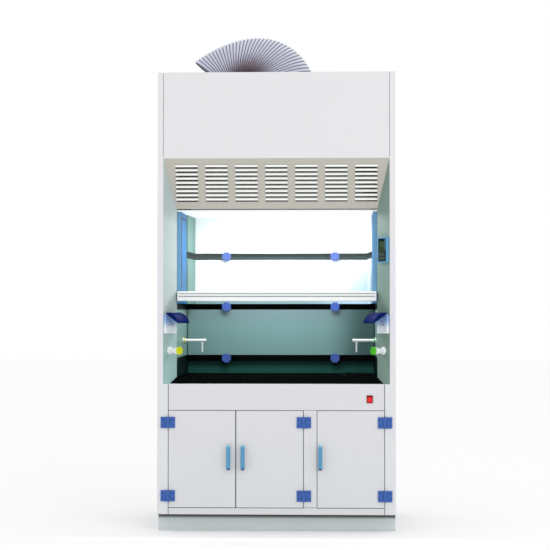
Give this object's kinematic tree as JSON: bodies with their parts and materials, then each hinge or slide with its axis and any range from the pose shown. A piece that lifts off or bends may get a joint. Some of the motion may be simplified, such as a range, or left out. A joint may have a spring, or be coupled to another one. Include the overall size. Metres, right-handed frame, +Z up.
{
  "type": "fume hood",
  "caption": "Walk-up ducted fume hood with counterbalanced glass sash, louvred bypass panel, slotted baffles, service valves, sockets and a base cabinet with doors.",
  "frame": {"origin": "on the floor under the middle of the body", "axes": "+Z up, +X to the right seen from the front, the front with the sash faces -Y"},
  "size_m": [1.2, 0.9088, 2.5714],
  "materials": {
    "white_sheet": "fine orange-peel satin polypropylene",
    "interior_sheet": "glossy pale grey-green polypropylene",
    "worktop_black": "polished black, chemical-proof",
    "chase_blue": "glossy light blue polypropylene",
    "hinge_blue": "moulded blue polypropylene",
    "handle_blue": "moulded sky-blue polypropylene",
    "knob_blue": "moulded blue, lobed",
    "duct_foil": "pleated flexible duct",
    "safety_glass": "clear toughened glass",
    "lamp_pane": "frosted lamp pane",
    "lamp_phosphor": "lamp tube, lit",
    "galvanised": "lamp tray",
    "rail_white": "moulded white sash rail",
    "cast_weight": "as cast",
    "sheave_nylon": "turned nylon",
    "steel_bracket": "folded steel",
    "cable_steel": "stranded stainless cable",
    "seal_grey": "moulded grey sink",
    "rocker_red": "translucent red rocker",
    "rocker_black": "moulded black bezel",
    "service_white": "moulded white service fittings",
    "lid_navy": "dark navy moulded lid",
    "code_yellow": "yellow gas colour code",
    "code_green": "green water colour code",
    "panel_blue": "light blue controller frame",
    "display_green": "dark green display window",
    "keypad_dark": "dark membrane key pad"
  },
  "bodies": {
    "root": {"plinth": "white_sheet", "cabinet_floor": "white_sheet", "side_panels": "white_sheet", "back_panel": "white_sheet", "roof_panel": "white_sheet", "front_posts": "white_sheet", "header_panel": "white_sheet", "louvre_panel": "white_sheet", "cabinet_partition": "white_sheet", "apron_panel": "white_sheet", "splay_panels": "interior_sheet", "chamber_liners": "interior_sheet", "ceiling_panel": "interior_sheet", "baffle_top": "interior_sheet", "baffle_upper": "interior_sheet", "baffle_lower": "interior_sheet", "baffle_bottom": "interior_sheet", "baffle_rails": "interior_sheet", "exhaust_plenum": "interior_sheet", "worktop": "worktop_black", "cup_sink": "seal_grey", "side_chases": "chase_blue", "hinge_leaves_fixed": "hinge_blue", "baffle_knobs": "knob_blue", "flexible_duct": "duct_foil", "duct_collar": "white_sheet", "sash_guides": "interior_sheet", "pulley_brackets": "steel_bracket", "sash_cables": "cable_steel", "lamp_housing": "galvanised", "lamp_tube": "lamp_phosphor", "lamp_glass": "lamp_pane", "rocker_frame": "rocker_black", "socket_boxes": "service_white", "valve_bodies": "service_white", "control_panel": "panel_blue", "control_display": "display_green", "control_keypad": "keypad_dark", "outlet_arms": "service_white"},
    "sash": {"sash_glass": "safety_glass", "sash_handle": "rail_white", "sash_top_rail": "rail_white"},
    "counterweight_left": {"counterweight_left": "cast_weight"},
    "counterweight_right": {"counterweight_right": "cast_weight"},
    "pulley_left": {"pulley_left": "sheave_nylon"},
    "pulley_right": {"pulley_right": "sheave_nylon"},
    "door_left": {"door_left": "white_sheet", "hinge_leaves_left": "hinge_blue", "door_handle_left": "handle_blue"},
    "door_middle": {"door_middle": "white_sheet", "hinge_leaves_middle": "hinge_blue", "door_handle_middle": "handle_blue"},
    "door_right": {"door_right": "white_sheet", "hinge_leaves_right": "hinge_blue", "door_handle_right": "handle_blue"},
    "rocker": {"rocker_switch": "rocker_red"},
    "socket_lid_left": {"socket_lid_left": "lid_navy"},
    "socket_lid_right": {"socket_lid_right": "lid_navy"},
    "valve_knob_left": {"valve_knob_left": "code_yellow"},
    "valve_knob_right": {"valve_knob_right": "code_green"}
  },
  "joints": [
    {"name": "sash_slide", "type": "slide", "parent": "root", "child": "sash", "axis": [0, 0, 1], "range_m": [-0.385, 0.185], "deforming": ["sash_cables"]},
    {"name": "counterweight_left_slide", "type": "slide", "parent": "root", "child": "counterweight_left", "axis": [0, 0, 1], "range_m": [-0.185, 0.385]},
    {"name": "pulley_left_spin", "type": "hinge", "parent": "root", "child": "pulley_left", "pos_m": [-0.538, -0.33, 2.27], "axis": [0, 1, 0], "continuous": true},
    {"name": "counterweight_right_slide", "type": "slide", "parent": "root", "child": "counterweight_right", "axis": [0, 0, 1], "range_m": [-0.185, 0.385]},
    {"name": "pulley_right_spin", "type": "hinge", "parent": "root", "child": "pulley_right", "pos_m": [0.538, -0.33, 2.27], "axis": [0, 1, 0], "continuous": true},
    {"name": "door_left_hinge", "type": "hinge", "parent": "root", "child": "door_left", "pos_m": [-0.546, -0.434, 0.179], "axis": [0, 0, -1], "range_deg": [0, 110]},
    {"name": "door_middle_hinge", "type": "hinge", "parent": "root", "child": "door_middle", "pos_m": [0.139, -0.434, 0.179], "axis": [0, 0, 1], "range_deg": [0, 110]},
    {"name": "door_right_hinge", "type": "hinge", "parent": "root", "child": "door_right", "pos_m": [0.546, -0.434, 0.179], "axis": [0, 0, 1], "range_deg": [0, 110]},
    {"name": "rocker_tip", "type": "hinge", "parent": "root", "child": "rocker", "pos_m": [0.47, -0.421, 0.665], "axis": [1, 0, 0], "range_deg": [-14, 0]},
    {"name": "socket_lid_left_hinge", "type": "hinge", "parent": "root", "child": "socket_lid_left", "pos_m": [-0.5358, -0.3964, 1.09], "axis": [-0.6, -0.8, 0], "range_deg": [-58, 35]},
    {"name": "socket_lid_right_hinge", "type": "hinge", "parent": "root", "child": "socket_lid_right", "pos_m": [0.5358, -0.3964, 1.09], "axis": [-0.6, 0.8, 0], "range_deg": [-58, 35]},
    {"name": "valve_left_turn", "type": "hinge", "parent": "root", "child": "valve_knob_left", "pos_m": [-0.525, -0.397, 0.908], "axis": [-0.8, 0.6, 0], "range_deg": [0, 90]},
    {"name": "valve_right_turn", "type": "hinge", "parent": "root", "child": "valve_knob_right", "pos_m": [0.525, -0.397, 0.908], "axis": [0.8, 0.6, 0], "range_deg": [0, 180]}
  ],
  "couplings": [
    {"joint": "counterweight_left_slide", "follows": "sash_slide", "ratio": -1},
    {"joint": "counterweight_right_slide", "follows": "sash_slide", "ratio": -1},
    {"joint": "pulley_left_spin", "follows": "sash_slide", "rad_per_m": -50},
    {"joint": "pulley_right_spin", "follows": "sash_slide", "rad_per_m": 50}
  ]
}
